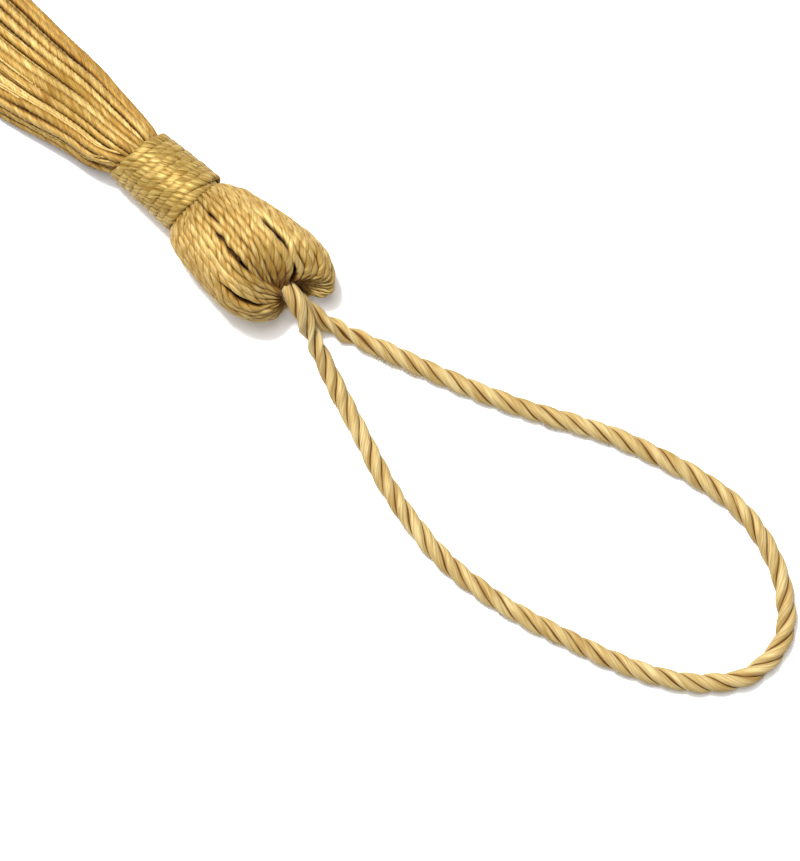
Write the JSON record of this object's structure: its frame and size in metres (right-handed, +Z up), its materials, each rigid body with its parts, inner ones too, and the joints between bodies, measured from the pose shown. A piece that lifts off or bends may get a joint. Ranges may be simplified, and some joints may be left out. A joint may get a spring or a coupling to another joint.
{
  "type": "silk tassel",
  "caption": "Small silky tassel lying on its side, with a bulb-shaped head, a thread-wrapped neck, a yarn skirt and a hanging loop of twisted cord.",
  "frame": {"origin": "on the surface that the tassel lies on, below the middle of the head and skirt", "axes": "+X along the tassel from the skirt to the loop, +Z up from the surface"},
  "size_m": [0.1334, 0.0228, 0.0091],
  "materials": {
    "bundle_yarn": "silky viscose yarn in antique gold, three-ply, satin sheen",
    "wrap_thread": "the same yarn in a slightly deeper gold, wound in close slanting turns",
    "loop_cord": "three-ply twisted silky cord in pale gold, satin sheen"
  },
  "bodies": {
    "root": {"head_and_skirt": "bundle_yarn", "neck_wrap": "wrap_thread", "hanging_loop": "loop_cord"}
  },
  "joints": []
}
